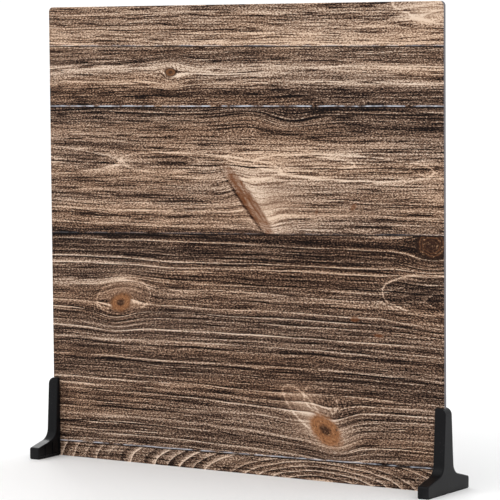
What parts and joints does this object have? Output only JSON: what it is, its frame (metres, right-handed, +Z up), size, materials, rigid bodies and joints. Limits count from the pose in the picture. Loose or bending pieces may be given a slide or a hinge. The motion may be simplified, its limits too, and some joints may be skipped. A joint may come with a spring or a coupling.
{
  "type": "backdrop panel",
  "caption": "Rigid square backdrop board with a different timber print on each side, standing in push-on slotted feet.",
  "frame": {"origin": "middle of the footprint, on the surface that the board's lower edge and the feet's soles stand on", "axes": "+X across the board, -Y out of the brown timber side, +Y out of the dark timber side, +Z up"},
  "size_m": [0.6196, 0.104, 0.6096],
  "materials": {
    "foam_core": "matte",
    "brown_print": "matte",
    "dark_print": "matte",
    "foot_plastic": "satin",
    "sole_rubber": "matte"
  },
  "bodies": {
    "panel": {"panel_core": "foam_core", "brown_timber_face": "brown_print", "dark_timber_face": "dark_print"},
    "left_foot": {"left_foot": "foot_plastic", "left_toe_pad": "sole_rubber", "left_heel_pad": "sole_rubber"},
    "right_foot": {"right_foot": "foot_plastic", "right_toe_pad": "sole_rubber", "right_heel_pad": "sole_rubber"}
  },
  "joints": [
    {"name": "left_foot_pull_off", "type": "slide", "parent": "panel", "child": "left_foot", "axis": [-1, 0, 0], "range_m": [0, 0.03]},
    {"name": "right_foot_pull_off", "type": "slide", "parent": "panel", "child": "right_foot", "axis": [1, 0, 0], "range_m": [0, 0.03]}
  ]
}
